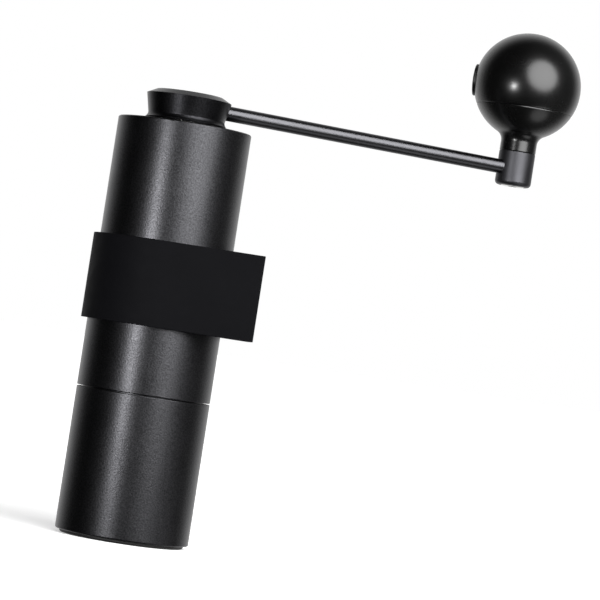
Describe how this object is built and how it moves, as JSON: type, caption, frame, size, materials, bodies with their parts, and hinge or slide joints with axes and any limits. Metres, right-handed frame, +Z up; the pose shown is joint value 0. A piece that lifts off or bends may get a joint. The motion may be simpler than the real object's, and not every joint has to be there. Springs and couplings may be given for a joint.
{
  "type": "hand crank coffee grinder",
  "caption": "Slim cylindrical hand crank coffee grinder: metal barrel with a conical burr set, screw-off grounds cup, grip band with a pocket, and a lift-off crank with a ball knob.",
  "frame": {"origin": "centre of the foot pad's lower face, on the surface that the grinder stands on", "axes": "+Z up along the barrel's axis; +X along the crank arm at rest, from the barrel to the knob"},
  "size_m": [0.1768, 0.0618, 0.1998],
  "materials": {
    "blasted_anodised": "bead-blasted and black anodised",
    "turned_anodised": "turned and black anodised, satin",
    "inner_anodised": "turned and black anodised",
    "dial_aluminium": "turned, clear anodised",
    "gloss_black_rod": "gloss black",
    "knob_black": "smooth satin black",
    "plug_black": "fine matt black",
    "band_silicone": "moulded, matt black",
    "pad_rubber": "moulded, matt black",
    "seal_silicone": "moulded, translucent grey",
    "burr_steel": "ground and hardened",
    "shaft_steel": "ground stainless steel",
    "bearing_steel": "polished bearing steel",
    "spring_steel": "drawn spring steel",
    "fastener_steel": "polished stainless steel",
    "bush_plastic": "natural acetal"
  },
  "bodies": {
    "barrel": {"barrel_tube": "blasted_anodised", "burr_sleeve": "inner_anodised", "cup_seal_ring": "seal_silicone", "ring_burr": "burr_steel", "ring_burr_screws": "fastener_steel", "lower_bearing_carrier": "inner_anodised", "upper_bearing_carrier": "inner_anodised", "lower_bearing_outer_race": "bearing_steel", "upper_bearing_outer_race": "bearing_steel"},
    "spindle": {"drive_shaft": "shaft_steel", "lower_bearing_inner_race": "bearing_steel", "upper_bearing_inner_race": "bearing_steel", "lower_bearing_balls": "bearing_steel", "upper_bearing_balls": "bearing_steel", "shaft_clips": "spring_steel", "spring_washer": "shaft_steel", "preload_spring": "spring_steel"},
    "cone": {"cone_burr": "burr_steel", "click_plate": "shaft_steel"},
    "dial": {"adjust_dial": "dial_aluminium", "detent_balls": "bearing_steel", "detent_springs": "spring_steel"},
    "crank": {"hub_shell": "blasted_anodised", "hub_cap": "turned_anodised", "hub_screw": "fastener_steel", "hub_socket": "shaft_steel", "lid_clip": "spring_steel", "arm_grub_screw": "fastener_steel", "arm_rod": "gloss_black_rod", "arm_end_post": "turned_anodised", "knob_axle": "fastener_steel", "axle_washer": "shaft_steel", "axle_nut": "fastener_steel"},
    "knob": {"knob_stem": "knob_black", "knob_dome": "knob_black", "knob_side_plug": "plug_black", "knob_bushes": "bush_plastic"},
    "lid": {"hopper_lid": "turned_anodised", "lid_gasket": "seal_silicone", "lid_bush": "bush_plastic"},
    "cup_base": {"foot_pad": "pad_rubber"},
    "cup": {"grounds_cup": "blasted_anodised"},
    "band": {"grip_band": "band_silicone"}
  },
  "joints": [
    {"name": "crank_turn", "type": "hinge", "parent": "barrel", "child": "spindle", "pos_m": [0, 0, 0.1], "axis": [0, 0, -1], "continuous": true},
    {"name": "burr_shift", "type": "slide", "parent": "spindle", "child": "cone", "axis": [0, 0, -1], "range_m": [0, 0.0015], "deforming": ["preload_spring"]},
    {"name": "dial_turn", "type": "hinge", "parent": "cone", "child": "dial", "pos_m": [0, 0, 0.045], "axis": [0, 0, -1], "range_deg": [0, 720]},
    {"name": "crank_lift", "type": "slide", "parent": "spindle", "child": "crank", "axis": [0, 0, 1], "range_m": [0, 0.03]},
    {"name": "lid_lift", "type": "slide", "parent": "barrel", "child": "lid", "axis": [0, 0, 1], "range_m": [0, 0.03]},
    {"name": "knob_spin", "type": "hinge", "parent": "crank", "child": "knob", "pos_m": [0.1323, 0, 0.165], "axis": [0, 0, 1], "continuous": true},
    {"name": "cup_pull_off", "type": "slide", "parent": "barrel", "child": "cup_base", "axis": [0, 0, -1], "range_m": [0, 0.055]},
    {"name": "cup_unscrew", "type": "hinge", "parent": "cup_base", "child": "cup", "pos_m": [0, 0, 0.025], "axis": [0, 0, -1], "range_deg": [0, 1080]},
    {"name": "band_slide", "type": "slide", "parent": "barrel", "child": "band", "axis": [0, 0, 1], "range_m": [-0.022, 0.04]}
  ],
  "couplings": [
    {"joint": "burr_shift", "follows": "dial_turn", "m_per_rad": 0.00011937},
    {"joint": "lid_lift", "follows": "crank_lift", "ratio": 1}
  ]
}
